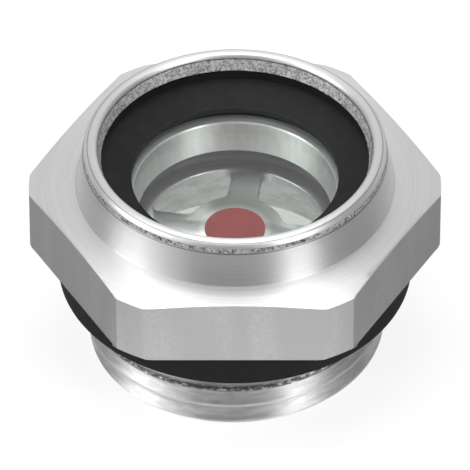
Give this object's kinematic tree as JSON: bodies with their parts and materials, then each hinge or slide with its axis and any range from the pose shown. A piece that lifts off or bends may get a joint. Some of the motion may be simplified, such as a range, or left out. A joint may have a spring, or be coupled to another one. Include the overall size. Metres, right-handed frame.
{
  "type": "tank level gauge",
  "caption": "Screw-in oil sight glass for a tank wall: hexagon head, round glass window under a rolled lip, slotted reflector with a red spot, flat seal and pipe thread.",
  "frame": {"origin": "on the axis, in the plane where the outer seal meets the tank", "axes": "+Z along the axis out of the tank, towards the window; a flat of the hexagon faces -Y"},
  "size_m": [0.0454, 0.041, 0.0265],
  "materials": {
    "body_metal": "fine turned and brushed, uncoated",
    "seal_rubber": "matt black",
    "washer_rubber": "smooth matt black",
    "glass": "clear, slightly green",
    "reflector_metal": "satin pressed sheet",
    "red_enamel": "satin red enamel"
  },
  "bodies": {
    "root": {"body": "body_metal", "outer_seal": "seal_rubber", "window_washer": "washer_rubber", "window_glass": "glass", "glass_o_ring": "seal_rubber", "reflector": "reflector_metal", "red_spot": "red_enamel"}
  },
  "joints": []
}
